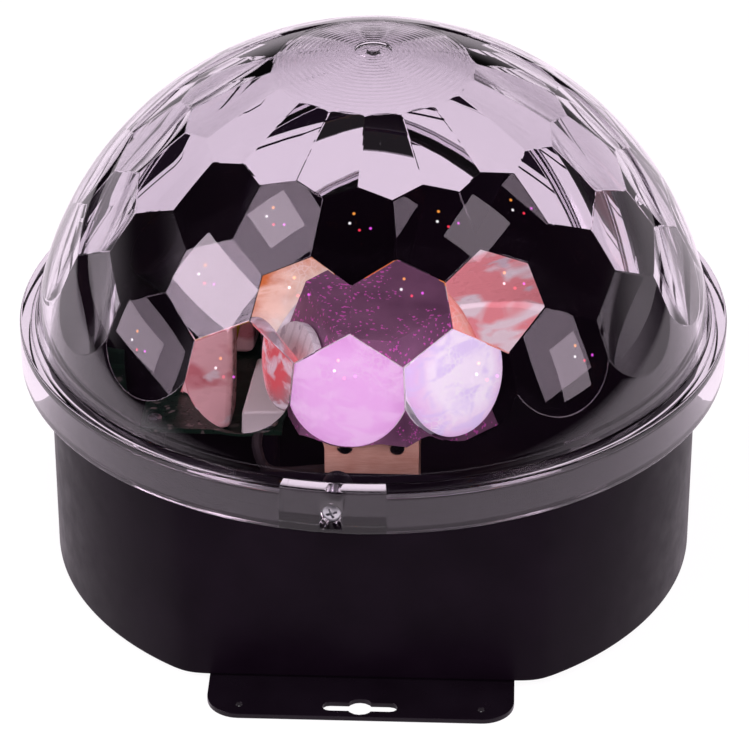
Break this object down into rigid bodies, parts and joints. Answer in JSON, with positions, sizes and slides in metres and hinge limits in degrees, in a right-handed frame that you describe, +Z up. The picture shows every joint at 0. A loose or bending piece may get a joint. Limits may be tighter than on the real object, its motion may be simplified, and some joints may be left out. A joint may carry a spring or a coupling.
{
  "type": "led disco ball light",
  "caption": "Party light: a clear faceted dome on a round black base, with a turning head of coloured lights inside, rear controls and a keyhole mounting plate.",
  "frame": {"origin": "on the floor under the middle of the dome", "axes": "+Z up along the dome's axis, -Y out of the front flat, +X to the right seen from the front"},
  "size_m": [0.2, 0.2, 0.1556],
  "materials": {
    "black_plastic": "glossy black",
    "clear_plastic": "clear, polished",
    "black_steel": "black coat",
    "zinc_steel": "zinc plated",
    "aluminium": "bare, warm in the lamp's own light",
    "head_aluminium": "bare",
    "brass": "turned",
    "motor_case": "grey",
    "light_board": "white solder mask",
    "light_lens": "clear moulding over a coloured light",
    "green_board": "green solder mask",
    "component": "wound and moulded parts",
    "control_black": "fine matt",
    "rocker_red": "red",
    "slider_white": "off white",
    "lead_skin": "soft insulation"
  },
  "bodies": {
    "fixed_lamp": {"mounting_plate": "black_steel", "plate_screw_1": "zinc_steel", "plate_screw_2": "zinc_steel", "plate_screw_3": "zinc_steel", "plate_screw_4": "zinc_steel", "base_housing": "black_plastic", "dome_lens": "clear_plastic", "dome_screw_1": "zinc_steel", "dome_screw_2": "zinc_steel", "dome_screw_3": "zinc_steel", "motor_column": "aluminium", "gear_motor": "motor_case", "column_stop_post": "zinc_steel", "column_screw_1": "zinc_steel", "column_screw_2": "zinc_steel", "motor_screw_1": "zinc_steel", "motor_screw_2": "zinc_steel", "driver_board": "green_board", "transformer": "component", "smoothing_capacitor": "component", "lead_connector": "slider_white", "board_screw_1": "zinc_steel", "board_screw_2": "zinc_steel", "board_screw_3": "zinc_steel", "board_screw_4": "zinc_steel", "gland_body": "control_black", "gland_nut": "control_black", "switch_frame": "control_black", "mode_switch_body": "motor_case", "pot_body": "motor_case", "pot_nut": "zinc_steel", "microphone": "motor_case", "mains_loom": "lead_skin", "switch_loom": "lead_skin", "motor_loom": "lead_skin"},
    "light_head": {"motor_shaft": "zinc_steel", "head_hub": "brass", "hub_set_screw": "zinc_steel", "head_stop_pin": "zinc_steel", "hub_screw_1": "zinc_steel", "hub_screw_2": "zinc_steel", "led_head": "head_aluminium", "led_board_1": "light_board", "led_board_2": "light_board", "led_board_3": "light_board", "led_board_4": "light_board", "led_board_5": "light_board", "led_board_6": "light_board", "led_lens_1": "light_lens", "led_lens_2": "light_lens", "led_lens_3": "light_lens", "led_lens_4": "light_lens", "led_lens_5": "light_lens", "led_lens_6": "light_lens"},
    "power_rocker": {"switch_rocker": "rocker_red"},
    "mode_slide": {"mode_slider": "slider_white"},
    "sensitivity_dial": {"sensitivity_knob": "control_black"}
  },
  "joints": [
    {"name": "head_spin", "type": "hinge", "parent": "fixed_lamp", "child": "light_head", "pos_m": [0, 0, 0.05], "axis": [0, 0, 1], "range_deg": [-160, 160]},
    {"name": "power_switch_rock", "type": "hinge", "parent": "fixed_lamp", "child": "power_rocker", "pos_m": [-0.012, 0.0788, 0.035], "axis": [1, 0, 0], "range_deg": [-20, 0]},
    {"name": "mode_switch_slide", "type": "slide", "parent": "fixed_lamp", "child": "mode_slide", "axis": [1, 0, 0], "range_m": [0, 0.004]},
    {"name": "sensitivity_turn", "type": "hinge", "parent": "fixed_lamp", "child": "sensitivity_dial", "pos_m": [0.032, 0.09, 0.035], "axis": [0, 1, 0], "range_deg": [-140, 140]}
  ]
}
